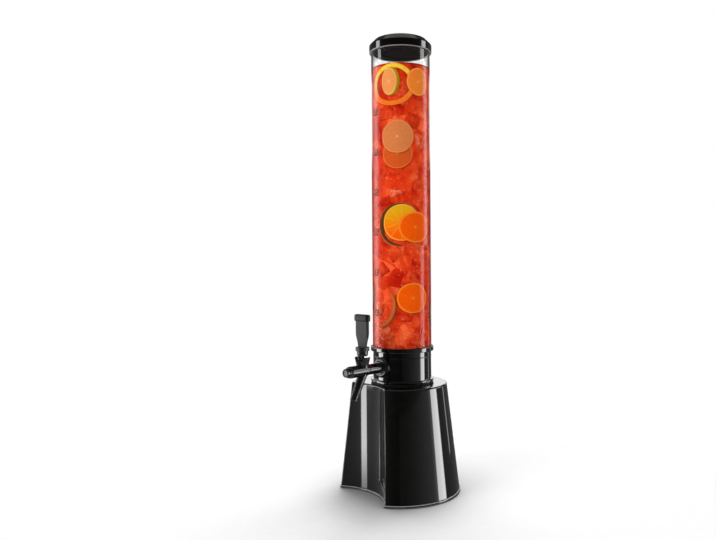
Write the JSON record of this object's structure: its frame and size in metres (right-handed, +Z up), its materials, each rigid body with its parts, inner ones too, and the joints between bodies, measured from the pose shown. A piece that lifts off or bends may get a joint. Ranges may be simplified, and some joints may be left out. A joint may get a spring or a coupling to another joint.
{
  "type": "drink tower dispenser",
  "caption": "Tall table-top drink tower: clear tube with a lift-off lid, round collar with a lever tap and slanted spout, and a tapered base with a curved recess for the glass.",
  "frame": {"origin": "on the axis of the tube and collar, at the level of the table that the base stands on", "axes": "+Z up along the tube, -Y out along the tap, +X to the right of somebody who faces the tap from behind the tower"},
  "size_m": [0.205, 0.2286, 0.765],
  "materials": {
    "gloss_black": "polished black ABS, mirror-like with faint moulding waviness",
    "tap_black": "moulded black plastic, slightly softer shine than the base",
    "grip_black": "satin dark grey plastic with a fine grain",
    "satin_black": "satin black nylon",
    "clear_acrylic": "clear extruded acrylic tube with printed volume marks",
    "black_rubber": "black rubber, matt",
    "clear_silicone": "milky silicone rubber",
    "white_plastic": "white low-friction plastic",
    "steel": "plain stainless steel",
    "brass": "turned brass"
  },
  "bodies": {
    "tower": {"base_shell": "gloss_black", "base_plate": "gloss_black", "anti_slip_ring": "black_rubber", "base_screws": "steel", "collar": "gloss_black", "collar_gasket": "black_rubber", "ring_nut": "satin_black", "tube_ring": "gloss_black", "tube_gasket": "clear_silicone", "tube": "clear_acrylic", "tap_body": "tap_black", "tap_rosette": "tap_black", "outer_washer": "black_rubber", "inner_washer": "clear_silicone", "tap_nut": "satin_black", "nose_cap": "tap_black", "nose_seal": "black_rubber", "bonnet": "tap_black", "ball_washer": "white_plastic", "friction_washer": "white_plastic"},
    "lid": {"lid_cap": "gloss_black", "lid_plug": "gloss_black", "lid_seal": "clear_silicone"},
    "lever": {"lever_stem": "steel", "handle_ferrule": "tap_black", "handle_insert": "brass", "handle_grip": "grip_black", "handle_cap": "tap_black"},
    "valve": {"plunger": "steel", "seat_washer": "black_rubber"}
  },
  "joints": [
    {"name": "lid_lift", "type": "slide", "parent": "tower", "child": "lid", "axis": [0, 0, 1], "range_m": [0, 0.15]},
    {"name": "lever_tilt", "type": "hinge", "parent": "tower", "child": "lever", "pos_m": [0, -0.094, 0.222], "axis": [1, 0, 0], "range_deg": [0, 30]},
    {"name": "plunger_slide", "type": "slide", "parent": "tower", "child": "valve", "axis": [0, 1, 0], "range_m": [0, 0.0053]}
  ],
  "couplings": [
    {"joint": "plunger_slide", "follows": "lever_tilt", "m_per_rad": 0.01}
  ]
}
